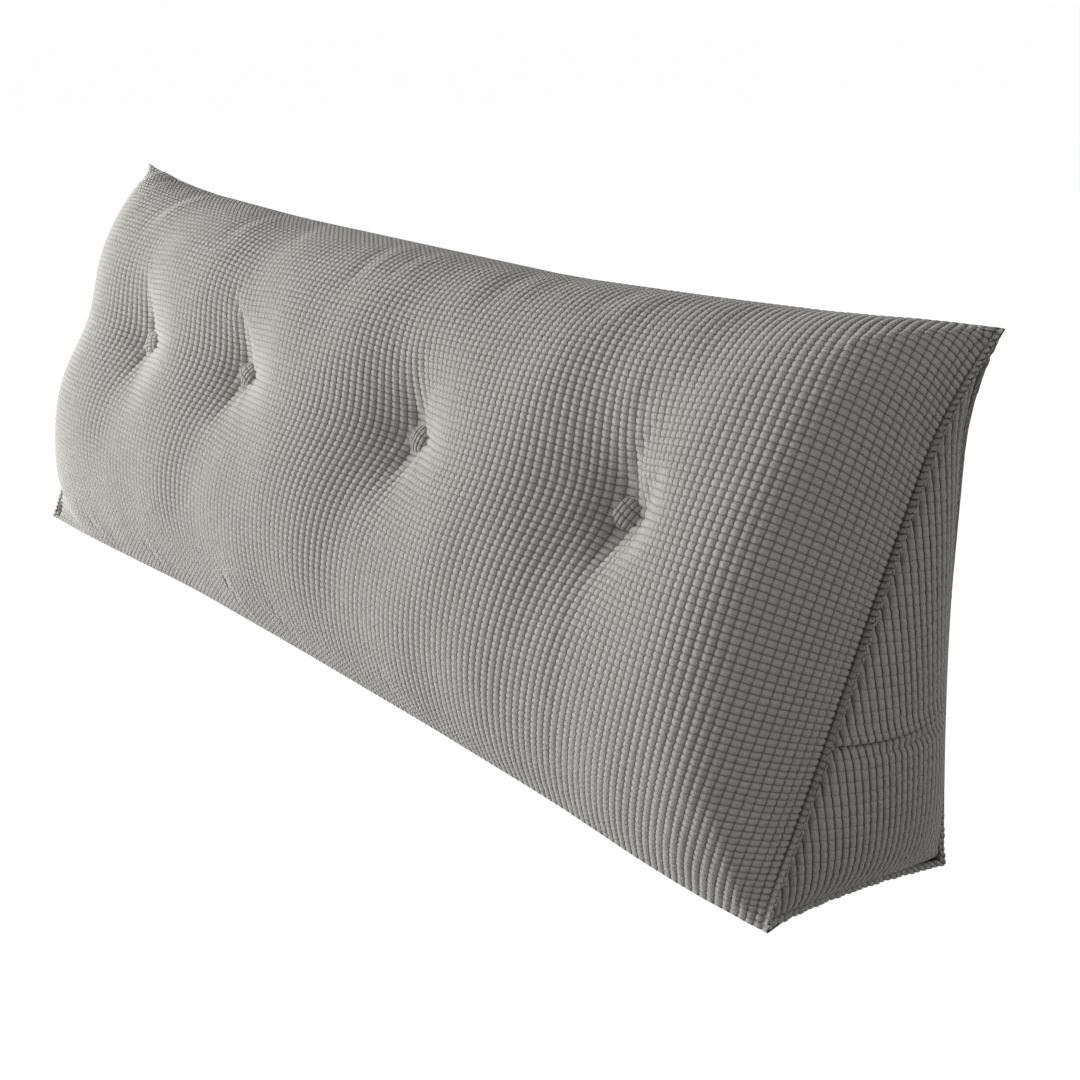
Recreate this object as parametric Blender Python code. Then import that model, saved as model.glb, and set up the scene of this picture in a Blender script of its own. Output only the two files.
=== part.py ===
"""A long wedge-shaped backrest pillow with four tufting buttons, in metres, +Z up.

It stands on its flat base. X runs along its length, its sloping face looks towards -Y and its back
towards +Y. The origin is the middle of the bounding box, on the surface that the pillow stands on.
"""

import math

import bmesh
import bpy
import numpy as np
from mathutils import Matrix, Vector

# Driving dimensions of the filled wedge
HALF_LENGTH = 0.734  # from the middle to an end seam, where the seam is drawn in most
EAR_REACH = 0.024  # how far a top corner stands out past the end seam
EAR_START = 0.39  # height at which an ear begins to stand out
HEEL_REACH = 0.020  # how far a back bottom corner stands out past the end seam
HEEL_HEIGHT = 0.27  # height at which that corner begins
TOE_REACH = 0.003  # how far a front bottom corner stands out
TOE_HEIGHT = 0.02
BASE_DRAW = 0.010  # how far the middle of an end's bottom edge is drawn in
BASE_DRAW_HEIGHT = 0.03
FACE_CROWN = 0.111  # how far the filled face stands out from the flat slope
BACK_CROWN = 0.018
END_ROUNDING = {-1: (11.0, 0.45), 1: (7.0, 0.55)}  # how late and how softly the crown ends, left and right
LOWER_FACE = (2.0, 0.85)  # the same two values from the middle of the slope down and up
UPPER_FACE = (3.2, 0.50)

# The three long seams, by their place along the half length (-1 is the left end, 1 is the right end)
LONG_SEAMS = [
    # along, top height, top depth, front depth, back depth
    (-1.00, 0.4985, 0.093, -0.101, 0.103),
    (-0.95, 0.4870, 0.095, -0.101, 0.102),
    (-0.80, 0.4750, 0.096, -0.099, 0.099),
    (-0.45, 0.4680, 0.095, -0.087, 0.096),
    (-0.10, 0.4675, 0.095, -0.089, 0.095),
    (0.30, 0.4670, 0.095, -0.095, 0.096),
    (0.60, 0.4770, 0.097, -0.103, 0.098),
    (0.82, 0.4860, 0.100, -0.116, 0.102),
    (0.95, 0.4960, 0.102, -0.117, 0.104),
    (1.00, 0.4985, 0.103, -0.114, 0.104),
]

# The tufting buttons, from left to right
BUTTONS = [
    # place along X, share of the slope below it, turn towards +X in degrees
    (-0.490, 0.570, 0.0),
    (-0.240, 0.580, 6.0),
    (0.127, 0.574, 0.0),
    (0.469, 0.562, 25.0),
]
BUTTON_ROW = 0.572  # share of the slope at which the row of buttons lies
BUTTON_RADIUS = 0.0155
BUTTON_PROFILE = [
    # radius, height of the turned dome
    (0.0142, 0.0000),
    (0.0155, 0.0016),
    (0.0155, 0.0032),
    (0.0140, 0.0056),
    (0.0100, 0.0076),
    (0.0050, 0.0086),
    (0.0000, 0.0089),
]
BUTTON_STEPS = 24

# What each button pulls in: a deep dimple, a soft valley up and down the face, and one along the row
DIMPLE_DEPTH = 0.034
DIMPLE_WIDTH = 0.075
DIMPLE_SHARPNESS = 1.3
VALLEY_DEPTH = 0.011
VALLEY_WIDTH = 0.065
ROW_DEPTH = 0.006
LEFT_ROW_DEPTH = 0.014  # how much deeper the row's valley runs out to the left end
ROW_WIDTH = 0.065
ROW_FADE = 0.080  # how far past the last button it fades
SEAT_WIDTH = 0.040  # how far round a button the cloth turns with it

# The triangular ends
PANEL_THICKNESS = 0.0025
PANEL_PUFF = 0.042  # how far the filling would push a wide end panel out
PUFF_RISE = 0.030  # how fast it swells away from its three seams
FLANGE_WIDTH = 0.003
FLANGE_PROUD = 0.0035  # how far the flange stands past the panel's seam
GAP = 0.0003
PLACKET_HEIGHT = 0.149  # the seam that divides the right end panel
RIM_SHARE = 0.955  # size of the panel's outline beside that of the whole end
FLANGE_SECTION = [
    # share of the width inwards, share of the length outwards
    (0.0, 0.00),
    (0.0, 0.75),
    (0.3, 1.00),
    (0.7, 1.00),
    (1.0, 0.75),
    (1.0, 0.00),
]

# How finely the cushion is divided
STATIONS = 78
FACE_STEPS = 25
BACK_STEPS = 8
BASE_STEPS = 4
PANEL_RINGS = (0.82, 0.62, 0.40, 0.18)

COVER_COLOUR = (0.36, 0.35, 0.33, 1.0)
BUTTON_COLOUR = (0.32, 0.31, 0.29, 1.0)


def clear_scene():
    for obj in list(bpy.data.objects):
        bpy.data.objects.remove(obj, do_unlink=True)


def new_collection(name):
    collection = bpy.data.collections.new(name)
    bpy.context.scene.collection.children.link(collection)
    return collection


def cloth_material(name, colour, roughness):
    material = bpy.data.materials.new(name)
    material.use_nodes = True
    shader = material.node_tree.nodes["Principled BSDF"]
    shader.inputs["Base Color"].default_value = colour
    shader.inputs["Roughness"].default_value = roughness
    shader.inputs["Metallic"].default_value = 0.0
    return material


def make_object(name, bm, collection, material):
    """Turn a bmesh into a named, smooth-shaded object with its faces pointing out."""
    bmesh.ops.recalc_face_normals(bm, faces=bm.faces)
    bmesh.ops.triangulate(bm, faces=bm.faces, quad_method="SHORT_EDGE")
    mesh = bpy.data.meshes.new(name)
    bm.to_mesh(mesh)
    bm.free()
    mesh.shade_smooth()
    mesh.materials.append(material)
    obj = bpy.data.objects.new(name, mesh)
    collection.objects.link(obj)
    return obj


def spread(count, density):
    """Divide 0 to 1 into count steps that are shorter where the density is higher."""
    fine = np.linspace(0.0, 1.0, 2001)
    weight = np.array([density(value) for value in fine])
    total = np.concatenate([[0.0], np.cumsum((weight[1:] + weight[:-1]) / 2)])
    return np.interp(np.linspace(0.0, total[-1], count + 1), total, fine)


def station_density(share):
    along = abs(2 * share - 1) * HALF_LENGTH
    near_button = sum(math.exp(-(((2 * share - 1) * HALF_LENGTH - x) / 0.045) ** 2) for x, _, _ in BUTTONS)
    near_end = math.exp(-(HALF_LENGTH - along) / 0.02)
    return 1.0 + 1.6 * near_button + 4.0 * near_end


def slope_density(share):
    near_button = math.exp(-(((share - BUTTON_ROW) / 0.09) ** 2))
    near_seam = math.exp(-share / 0.03) + math.exp(-(1 - share) / 0.03)
    return 1.0 + 1.2 * near_button + 2.5 * near_seam


def ring_of_section():
    """The places round one section: (which side, share of that side), starting at the front seam."""
    ring = [("face", u) for u in spread(FACE_STEPS, slope_density)[:-1]]
    ring += [("back", v) for v in np.linspace(0.0, 1.0, BACK_STEPS + 1)[:-1]]
    ring += [("base", w) for w in np.linspace(0.0, 1.0, BASE_STEPS + 1)[:-1]]
    return ring


def seam_points(along):
    """The section's three corners, in Y and Z: front seam, top seam and back seam."""
    table = np.array(LONG_SEAMS)
    soft = [np.interp(along + shift, table[:, 0], table[:, c]) for c in (1, 2, 3, 4) for shift in (-0.04, 0.04)]
    exact = [np.interp(along, table[:, 0], table[:, c]) for c in (1, 2, 3, 4)]
    blend = min(1.0, (1.0 - abs(along)) / 0.04)
    top_z, top_y, front_y, back_y = (
        (1 - blend) * exact[i] + blend * (soft[2 * i] + soft[2 * i + 1]) / 2 for i in range(4)
    )
    return Vector((0, front_y, 0)), Vector((0, top_y, top_z)), Vector((0, back_y, 0))


def end_reach(y, z):
    """Distance from the middle to the end seam: least half way up, more at the corners."""
    front, top, back = seam_points(1.0)
    backwards = min(1.0, max(0.0, (y - front.y) / (back.y - front.y)))
    ear = EAR_REACH * (max(0.0, z - EAR_START) / (top.z - EAR_START)) ** 1.6
    heel = HEEL_REACH * backwards * max(0.0, 1 - z / HEEL_HEIGHT) ** 1.5
    toe = TOE_REACH * (1 - backwards) * math.exp(-z / TOE_HEIGHT)
    drawn = BASE_DRAW * 4 * backwards * (1 - backwards) * math.exp(-z / BASE_DRAW_HEIGHT)
    return HALF_LENGTH + ear + heel + toe - drawn


def roundness(share, power, softness):
    """Crown across a side: 0 at both seams, 1 half way, steep at the seams."""
    return max(0.0, 1 - abs(2 * share - 1) ** power) ** softness


def tufting(x, up_slope):
    """How far the buttons pull the face in at a place x along and up_slope metres up the slope."""
    pull = 0.0
    for button_x, share, turn in BUTTONS:
        away = math.hypot(x - button_x, up_slope - share * slope_length())
        pull += DIMPLE_DEPTH * math.exp(-((away / DIMPLE_WIDTH) ** DIMPLE_SHARPNESS))
        pull += VALLEY_DEPTH * math.exp(-(((x - button_x) / VALLEY_WIDTH) ** 2))
        pull += math.tan(math.radians(turn)) * (x - button_x) * math.exp(-((away / SEAT_WIDTH) ** 2))
    first, last = BUTTONS[0][0], BUTTONS[-1][0]
    rise = up_slope - BUTTON_ROW * slope_length()
    row = ROW_DEPTH * math.exp(-((max(0.0, x - last) / ROW_FADE) ** 2))
    row += LEFT_ROW_DEPTH * min(1.0, max(0.0, first - x) / (HALF_LENGTH + first))
    return pull + row * math.exp(-((rise / ROW_WIDTH) ** 2))


def slope_length():
    front, top, _ = seam_points(0.0)
    return (top - front).length


def face_normal(along):
    front, top, _ = seam_points(along)
    slope = (top - front).normalized()
    return Vector((0, -slope.z, slope.y))


def surface_point(along, side, share):
    """A point of the filled cushion: along is -1 to 1, side and share come from the ring."""
    front, top, back = seam_points(along)
    start, stop = {"face": (front, top), "back": (top, back), "base": (back, front)}[side]
    point = start.lerp(stop, share)
    reach = end_reach(point.y, point.z) - FLANGE_PROUD - PANEL_THICKNESS - GAP
    straight = HALF_LENGTH - FLANGE_PROUD
    point.x = along * (straight + (reach - straight) * abs(along) ** 12)
    late, soft = END_ROUNDING[1 if along > 0 else -1]
    fall = max(0.0, 1 - abs(along) ** late) ** soft
    if side == "face":
        crown = FACE_CROWN * roundness(share, *(UPPER_FACE if share > 0.5 else LOWER_FACE)) * fall
        pull = tufting(point.x, share * slope_length()) * roundness(share, 4.0, 0.8) * fall**0.5
        point += face_normal(along) * (crown - pull)
    if side == "back":
        point.y += BACK_CROWN * roundness(share, 2.4, 0.8) * fall
    return point


def end_centre(side):
    """The centre from which all three edges of an end lie equally far, in Y and Z."""
    front, top, back = seam_points(side)
    lengths = [(top - back).length, (back - front).length, (front - top).length]
    return (front * lengths[0] + top * lengths[1] + back * lengths[2]) / sum(lengths)


def end_puff(side, y, z):
    """How far the filling pushes an end out: nothing at its three seams, most low in its middle."""
    front, top, back = seam_points(side)
    rim = (1 - RIM_SHARE) * end_centre(side).z
    puff = PANEL_PUFF
    for start, stop in ((front, top), (top, back), (back, front)):
        edge = (stop - start).normalized()
        inside = abs(edge.y * (z - start.z) - edge.z * (y - start.y)) - rim
        puff *= 1 - math.exp(-max(0.0, inside) / PUFF_RISE)
    return puff


def end_point(side, edge, size, proud):
    """A point of an end: edge is a point of its outline, size 1 is the outline and 0 the centre."""
    centre = end_centre(side)
    point = centre.lerp(Vector((0, edge.y, edge.z)), size)
    reach = end_reach(point.y, point.z) - FLANGE_PROUD + end_puff(side, point.y, point.z)
    point.x = side * (reach + proud)
    return point


def end_outline(side):
    return [surface_point(side, part, share) for part, share in ring_of_section()]


def grid_cells(bm, columns, rows, place):
    """A grid of columns by rows steps, each point of it moved to place(column, row)."""
    bmesh.ops.create_grid(bm, x_segments=columns, y_segments=rows, size=1)
    for vert in bm.verts:
        column = round((vert.co.x + 1) / 2 * columns)
        row = round((vert.co.y + 1) / 2 * rows)
        vert.co = place(column, row)
    bmesh.ops.remove_doubles(bm, verts=bm.verts, dist=1e-6)


def close_end(bm, loop_edges, side, edge_size, sizes, proud):
    """Fill an open end with rings that shrink towards its centre."""
    centre = end_centre(side)
    size = edge_size
    for next_size in sizes + (0.0,):
        grown = bmesh.ops.extrude_edge_only(bm, edges=loop_edges)["geom"]
        loop_edges = [item for item in grown if isinstance(item, bmesh.types.BMEdge)]
        ring = [item for item in grown if isinstance(item, bmesh.types.BMVert)]
        for vert in ring:
            edge = centre + (Vector((0, vert.co.y, vert.co.z)) - centre) / size
            vert.co = end_point(side, edge, next_size, proud)
        size = next_size
    bmesh.ops.remove_doubles(bm, verts=ring, dist=1e-4)


def make_cushion(collection, material):
    """The filled wedge: a sheet wrapped round its sections, closed at both ends."""
    ring = ring_of_section()
    stations = 2 * spread(STATIONS, station_density) - 1
    bm = bmesh.new()
    grid_cells(bm, len(ring), STATIONS, lambda c, r: surface_point(stations[r], *ring[c % len(ring)]))
    for side in (-1, 1):
        rim = [edge for edge in bm.edges if edge.is_boundary and edge.verts[0].co.x * side > 0]
        close_end(bm, rim, side, 1.0, (RIM_SHARE,) + PANEL_RINGS, -PANEL_THICKNESS - GAP)
    return make_object("filled_cushion", bm, collection, material)


def make_end_panel(name, side, low, high, collection, material):
    """One cloth piece of an end, between two heights, laid over the filled cushion."""
    outline = end_outline(side)
    panel_share = RIM_SHARE - 2 * GAP
    bm = bmesh.new()
    bmesh.ops.create_circle(bm, segments=len(outline), radius=1)
    bm.verts.ensure_lookup_table()
    for vert, edge in zip(bm.verts, outline):
        vert.co = end_point(side, edge, panel_share, -PANEL_THICKNESS)
    close_end(bm, list(bm.edges), side, panel_share, PANEL_RINGS, -PANEL_THICKNESS)
    for height, up in ((low, -1), (high, 1)):
        bmesh.ops.bisect_plane(
            bm,
            geom=list(bm.verts) + list(bm.edges) + list(bm.faces),
            dist=1e-6,
            plane_co=(0, 0, height),
            plane_no=(0, 0, up),
            clear_outer=True,
        )
    grown = bmesh.ops.extrude_face_region(bm, geom=list(bm.faces))["geom"]
    lifted = [item for item in grown if isinstance(item, bmesh.types.BMVert)]
    bmesh.ops.translate(bm, verts=lifted, vec=(side * PANEL_THICKNESS, 0, 0))
    return make_object(name, bm, collection, material)


def make_flange(name, side, collection, material):
    """The turned edge that stands up all round an end."""
    outline = end_outline(side)
    radius = end_centre(side).z
    length = PANEL_THICKNESS + FLANGE_PROUD

    def place(column, row):
        inwards, outwards = FLANGE_SECTION[row % len(FLANGE_SECTION)]
        size = 0.998 - inwards * FLANGE_WIDTH / radius
        return end_point(side, outline[column % len(outline)], size, outwards * length - PANEL_THICKNESS)

    bm = bmesh.new()
    grid_cells(bm, len(outline), len(FLANGE_SECTION), place)
    return make_object(name, bm, collection, material)


def button_seat(x, share, turn):
    """Where a button sits on the face, and the direction it looks in."""
    along = x / (HALF_LENGTH - FLANGE_PROUD)
    seat = surface_point(along, "face", share)
    normal = face_normal(along)
    normal.rotate(Matrix.Rotation(math.radians(turn), 3, (normal.cross(Vector((1, 0, 0))))))
    return seat, normal


def make_button(number, place, collection, cutters, cushion, material):
    """A covered dome button, and the round seat that it presses into the face."""
    seat, normal = button_seat(*place)
    turned = normal.to_track_quat("Z", "Y")
    bm = bmesh.new()
    profile = [bm.verts.new((radius, 0, height)) for radius, height in [(0, 0)] + BUTTON_PROFILE]
    edges = [bm.edges.new(pair) for pair in zip(profile, profile[1:])]
    bmesh.ops.spin(bm, geom=profile + edges, axis=(0, 0, 1), cent=(0, 0, 0), angle=math.tau, steps=BUTTON_STEPS)
    bmesh.ops.remove_doubles(bm, verts=bm.verts, dist=1e-6)
    button = make_object(f"button_{number}", bm, collection, material)
    button.rotation_mode = "QUATERNION"
    button.rotation_quaternion = turned
    button.location = seat + normal * GAP

    depth = 0.06
    cutter_mesh = bmesh.new()
    bmesh.ops.create_cone(
        cutter_mesh, segments=BUTTON_STEPS, radius1=BUTTON_RADIUS + 2 * GAP, radius2=BUTTON_RADIUS + 2 * GAP,
        depth=depth, cap_ends=True,
    )
    cutter = make_object(f"cutter_button_{number}", cutter_mesh, cutters, material)
    cutter.rotation_mode = "QUATERNION"
    cutter.rotation_quaternion = turned
    cutter.location = seat + normal * depth / 2
    cutter.hide_render = True
    cutter.display_type = "WIRE"
    cut = cushion.modifiers.new(f"seat_{number}", "BOOLEAN")
    cut.operation = "DIFFERENCE"
    cut.solver = "EXACT"
    cut.object = cutter


def stand_on_origin(parts, others):
    """Move everything so that the bounding box stands on the origin."""
    bpy.context.view_layer.update()
    corners = np.array([obj.matrix_world @ vert.co for obj in parts for vert in obj.data.vertices])
    low, high = corners.min(axis=0), corners.max(axis=0)
    shift = Vector(((low[0] + high[0]) / 2, (low[1] + high[1]) / 2, low[2]))
    for obj in list(parts) + list(others):
        obj.location -= shift


def main():
    clear_scene()
    pillow = new_collection("backrest_pillow")
    cutters = new_collection("cutters")
    cover = cloth_material("corduroy_cover", COVER_COLOUR, 0.92)
    end_cloth = cloth_material("corduroy_ends", COVER_COLOUR, 0.92)
    button_cloth = cloth_material("corduroy_buttons", BUTTON_COLOUR, 0.9)

    cushion = make_cushion(pillow, cover)
    make_end_panel("left_end_panel", -1, -1.0, 1.0, pillow, end_cloth)
    make_end_panel("right_end_lower_panel", 1, -1.0, PLACKET_HEIGHT, pillow, end_cloth)
    make_end_panel("right_end_upper_panel", 1, PLACKET_HEIGHT + GAP, 1.0, pillow, end_cloth)
    make_flange("left_seam_flange", -1, pillow, cover)
    make_flange("right_seam_flange", 1, pillow, cover)
    for number, place in enumerate(BUTTONS, start=1):
        make_button(number, place, pillow, cutters, cushion, button_cloth)
    stand_on_origin(pillow.objects, cutters.objects)


main()
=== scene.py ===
# %% [markdown]
# # A long wedge pillow in plush corduroy
#
# The pillow is a filled wedge, 1.5 metres long and half a metre high. It stands on its base, and its
# sloping face is pulled in by four covered buttons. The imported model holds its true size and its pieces.
# This lesson dresses that model: a cover that swells over the filling, its raised ribs, the end panels
# with their turned edges, and the buttons.

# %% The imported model
import math

import bmesh
import bpy
import numpy as np
from mathutils import Matrix, Vector


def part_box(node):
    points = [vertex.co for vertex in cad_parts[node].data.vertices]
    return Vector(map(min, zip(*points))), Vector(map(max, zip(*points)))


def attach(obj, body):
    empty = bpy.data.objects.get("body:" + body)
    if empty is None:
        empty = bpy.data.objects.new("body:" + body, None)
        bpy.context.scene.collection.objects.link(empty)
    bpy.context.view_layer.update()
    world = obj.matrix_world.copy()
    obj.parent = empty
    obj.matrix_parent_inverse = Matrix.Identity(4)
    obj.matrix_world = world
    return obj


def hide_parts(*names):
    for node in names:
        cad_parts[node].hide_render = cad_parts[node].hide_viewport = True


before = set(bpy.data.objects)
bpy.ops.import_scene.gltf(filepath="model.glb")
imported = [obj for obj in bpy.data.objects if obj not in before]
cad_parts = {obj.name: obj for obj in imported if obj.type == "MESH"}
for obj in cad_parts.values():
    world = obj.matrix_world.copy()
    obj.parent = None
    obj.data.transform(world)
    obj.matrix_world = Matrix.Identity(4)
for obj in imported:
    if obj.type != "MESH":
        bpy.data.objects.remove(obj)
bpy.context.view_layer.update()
bpy.ops.object.select_all(action="DESELECT")
print("pieces in the packed model:", sorted(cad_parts))

# %% [markdown]
# The camera stands in front of the right end and looks a little down. It could be turned by eye until the
# pillow looks right, but a fit to the corners seen in the photograph is closer. So it is given as a place
# and two directions, with the lens that goes with them.

# %% The camera
CAMERA_PLACE = Vector((1.6307, -1.0872, 0.7650))
CAMERA_LOOK = Vector((-0.7396, 0.6002, -0.3044))
CAMERA_UP = Vector((-0.2488, 0.1764, 0.9524))
CAMERA_LENS, CAMERA_SENSOR = 58.33, 36.0


def make_camera():
    data = bpy.data.cameras.new("camera")
    data.lens = CAMERA_LENS
    data.sensor_width = CAMERA_SENSOR
    camera = bpy.data.objects.new("camera", data)
    bpy.context.scene.collection.objects.link(camera)
    look = CAMERA_LOOK.normalized()
    right = look.cross(CAMERA_UP).normalized()
    turned = Matrix((right, right.cross(look), -look)).transposed().to_4x4()
    camera.matrix_world = Matrix.Translation(CAMERA_PLACE) @ turned
    bpy.context.scene.camera = camera
    return camera


camera = make_camera()
print("camera at", tuple(round(v, 3) for v in camera.location))

# %% [markdown]
# A broad soft light stands low on the left, beyond the far end of the pillow, so each dimple is dark on its
# left slope and bright on its right one, and the right end lies in shade. Three weak ones lift the middle
# and that end, one behind shows the back, and a dim even light comes from all round. Their powers could be
# guessed one after the other. They were found by rendering the pillow under each lamp alone and asking
# which mix gives the shading that is wanted. The floor is pale and glows, as a studio table lit from below
# does, so it stays even, with only a faint shadow.

# %% Light, world and floor
LIGHTS = {
    # place in metres, power in watts
    "key_light": ((-3.0, -1.8, 0.6), 258.0),
    "front_light": ((-1.5, -3.4, 0.8), 24.0),
    "middle_light": ((0.0, -3.6, 1.4), 36.0),
    "right_light": ((3.5, 0.8, 1.2), 32.0),
    "back_light": ((-0.6, 4.2, 1.0), 40.0),
}
LIGHT_SIZE = 1.8
LIGHT_TARGET = Vector((0.0, 0.0, 0.2))
WORLD_STRENGTH = 0.12
SKY_WHITE = 1.0
WHITE = (1.0, 1.0, 1.0, 1.0)
FLOOR_SIZE = 200.0
FLOOR_COLOUR = (0.20, 0.20, 0.20, 1.0)
FLOOR_ROUGHNESS, FLOOR_SPECULAR = 0.9, 0.1
FLOOR_GLOW = 0.96


def make_light(name, place, power):
    data = bpy.data.lights.new(name, "AREA")
    data.size = LIGHT_SIZE
    data.energy = power
    light = bpy.data.objects.new(name, data)
    light.location = place
    light.rotation_mode = "QUATERNION"
    light.rotation_quaternion = (LIGHT_TARGET - Vector(place)).to_track_quat("-Z", "Y")
    bpy.context.scene.collection.objects.link(light)


def make_world():
    """A dim even light from all round, which looks white where the camera sees it past the floor."""
    world = bpy.data.worlds.new("studio")
    world.use_nodes = True
    tree = world.node_tree
    seen = tree.nodes.new("ShaderNodeLightPath")
    strength = tree.nodes.new("ShaderNodeMapRange")
    strength.inputs["To Min"].default_value = WORLD_STRENGTH
    strength.inputs["To Max"].default_value = SKY_WHITE
    tree.links.new(seen.outputs["Is Camera Ray"], strength.inputs["Value"])
    tree.links.new(strength.outputs["Result"], tree.nodes["Background"].inputs["Strength"])
    tree.nodes["Background"].inputs["Color"].default_value = WHITE
    bpy.context.scene.world = world


def make_floor():
    bpy.ops.mesh.primitive_plane_add(size=FLOOR_SIZE, location=(0, 0, 0))
    floor = bpy.context.object
    floor.name = "floor"
    paint = bpy.data.materials.new("floor_paint")
    paint.use_nodes = True
    shader = paint.node_tree.nodes["Principled BSDF"]
    shader.inputs["Base Color"].default_value = FLOOR_COLOUR
    shader.inputs["Roughness"].default_value = FLOOR_ROUGHNESS
    shader.inputs["Specular IOR Level"].default_value = FLOOR_SPECULAR
    shader.inputs["Emission Color"].default_value = WHITE
    shader.inputs["Emission Strength"].default_value = FLOOR_GLOW
    floor.data.materials.append(paint)
    floor.visible_diffuse = False


for name, (place, power) in LIGHTS.items():
    make_light(name, place, power)
    print(name, power, "W")
make_world()
make_floor()
bpy.context.scene.view_settings.view_transform = "Standard"

# %% [markdown]
# The filling gives the wedge its form. Three long seams run from end to end: one in front on the floor,
# one along the top and one behind on the floor. The table says where each lies along the pillow. A box
# could be pushed into this form point by point. Written as functions of two places, it can be read as
# finely as the cloth needs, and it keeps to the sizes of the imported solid.

# %% The seams of the wedge
LOW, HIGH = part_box("filled_cushion")
HALF_LENGTH = 0.734
PANEL_THICKNESS = 0.0025
FLANGE_PROUD = 0.0035
GAP = 0.0003
LONG_SEAMS = np.array([
    # along, top height, top depth, front depth, back depth
    (-1.00, 0.4985, 0.093, -0.101, 0.103),
    (-0.95, 0.4870, 0.095, -0.101, 0.102),
    (-0.80, 0.4750, 0.096, -0.099, 0.099),
    (-0.45, 0.4680, 0.095, -0.087, 0.096),
    (-0.10, 0.4675, 0.095, -0.089, 0.095),
    (0.30, 0.4670, 0.095, -0.095, 0.096),
    (0.60, 0.4770, 0.097, -0.103, 0.098),
    (0.82, 0.4860, 0.100, -0.116, 0.102),
    (0.95, 0.4960, 0.102, -0.117, 0.104),
    (1.00, 0.4985, 0.103, -0.114, 0.104),
])
SEAM_SOFTNESS = 0.04  # how far along a bend in a seam is rounded off
MODEL_SHIFT = np.array([-0.00035, 0.00781, 0.0])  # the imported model's box is centred on the origin
print("filled cushion from", tuple(round(v, 3) for v in LOW), "to", tuple(round(v, 3) for v in HIGH))


def seam_lines(along):
    """Y and Z of the front, top and back seam at places along the half length."""
    along = np.asarray(along, float)
    blend = np.clip((1 - np.abs(along)) / SEAM_SOFTNESS, 0, 1)

    def read(column, place):
        return np.interp(place, LONG_SEAMS[:, 0], LONG_SEAMS[:, column])

    def soft(column):
        mean = (read(column, along - SEAM_SOFTNESS) + read(column, along + SEAM_SOFTNESS)) / 2
        return blend * mean + (1 - blend) * read(column, along)

    top_z, top_y, front_y, back_y = (soft(column) for column in (1, 2, 3, 4))
    floor_z = np.zeros_like(front_y)
    return np.stack([front_y, floor_z], -1), np.stack([top_y, top_z], -1), np.stack([back_y, floor_z], -1)


def slope_length():
    front, top, _ = seam_lines(0.0)
    return np.linalg.norm(top - front)


# %% How far the ends reach
EAR_REACH, EAR_START, EAR_CURVE = 0.024, 0.39, 1.6
HEEL_REACH, HEEL_HEIGHT, HEEL_CURVE = 0.020, 0.27, 1.5
TOE_REACH, TOE_HEIGHT = 0.003, 0.02
BASE_DRAW, BASE_DRAW_HEIGHT = 0.010, 0.03


def end_reach(y, z):
    """Distance from the middle to the end seam: least half way up, more at the corners."""
    (front, _), (_, top), (back, _) = seam_lines(1.0)
    backwards = np.clip((y - front) / (back - front), 0, 1)
    ear = EAR_REACH * (np.clip(z - EAR_START, 0, None) / (top - EAR_START)) ** EAR_CURVE
    heel = HEEL_REACH * backwards * np.clip(1 - z / HEEL_HEIGHT, 0, None) ** HEEL_CURVE
    toe = TOE_REACH * (1 - backwards) * np.exp(-z / TOE_HEIGHT)
    drawn = BASE_DRAW * 4 * backwards * (1 - backwards) * np.exp(-z / BASE_DRAW_HEIGHT)
    return HALF_LENGTH + ear + heel + toe - drawn


print("reach of the end seam half way up:", end_reach(0.0, (LOW.z + HIGH.z) / 2).round(4))

# %% [markdown]
# Four buttons are tied through the filling and pull the face in. Each makes a dimple, a shallow valley up
# and down the slope, and a crease above and below where the cloth has no other way to go. Between the
# buttons the filling is pushed together and stands full. A sculpting brush could draw this, but a sum of
# smooth humps can be matched to the photograph one number at a time.

# %% How the buttons pull the face in
BUTTONS = [
    # place along X, share of the slope below it, turn towards +X in degrees
    (-0.490, 0.570, 0.0),
    (-0.240, 0.580, 6.0),
    (0.127, 0.574, 0.0),
    (0.469, 0.562, 25.0),
]
BUTTON_ROW = 0.572
DIMPLE_DEPTH, DIMPLE_SHARPNESS = 0.030, 1.05
DIMPLE_WIDTHS = [(0.072, 0.072), (0.070, 0.074), (0.058, 0.078), (0.052, 0.086)]  # left and right of each
DIMPLE_BLEND = 0.012
VALLEY_DEPTHS, VALLEY_WIDTH = [0.0035, 0.0045, 0.0065, 0.0070], 0.068
CREASE_DEPTH, CREASE_WIDTH, CREASE_REACH = 0.008, 0.022, 0.062
CREASE_LEANS = [(0.024, 0.020), (0.024, 0.020), (0.024, 0.020), (0.024, 0.008)]  # above and below each
CREASE_BEND, CREASE_SOFTNESS = 0.060, 0.006
FULLNESS, FULL_WIDTH, FULL_MIDDLE, FULL_REACH = 0.018, 0.105, 0.040, 0.660
ROW_DEPTH, LEFT_ROW_DEPTH, ROW_WIDTH, ROW_FADE = 0.006, 0.014, 0.065, 0.080
SEAT_WIDTH = 0.040
FULL_SQUARENESS = 8


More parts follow.
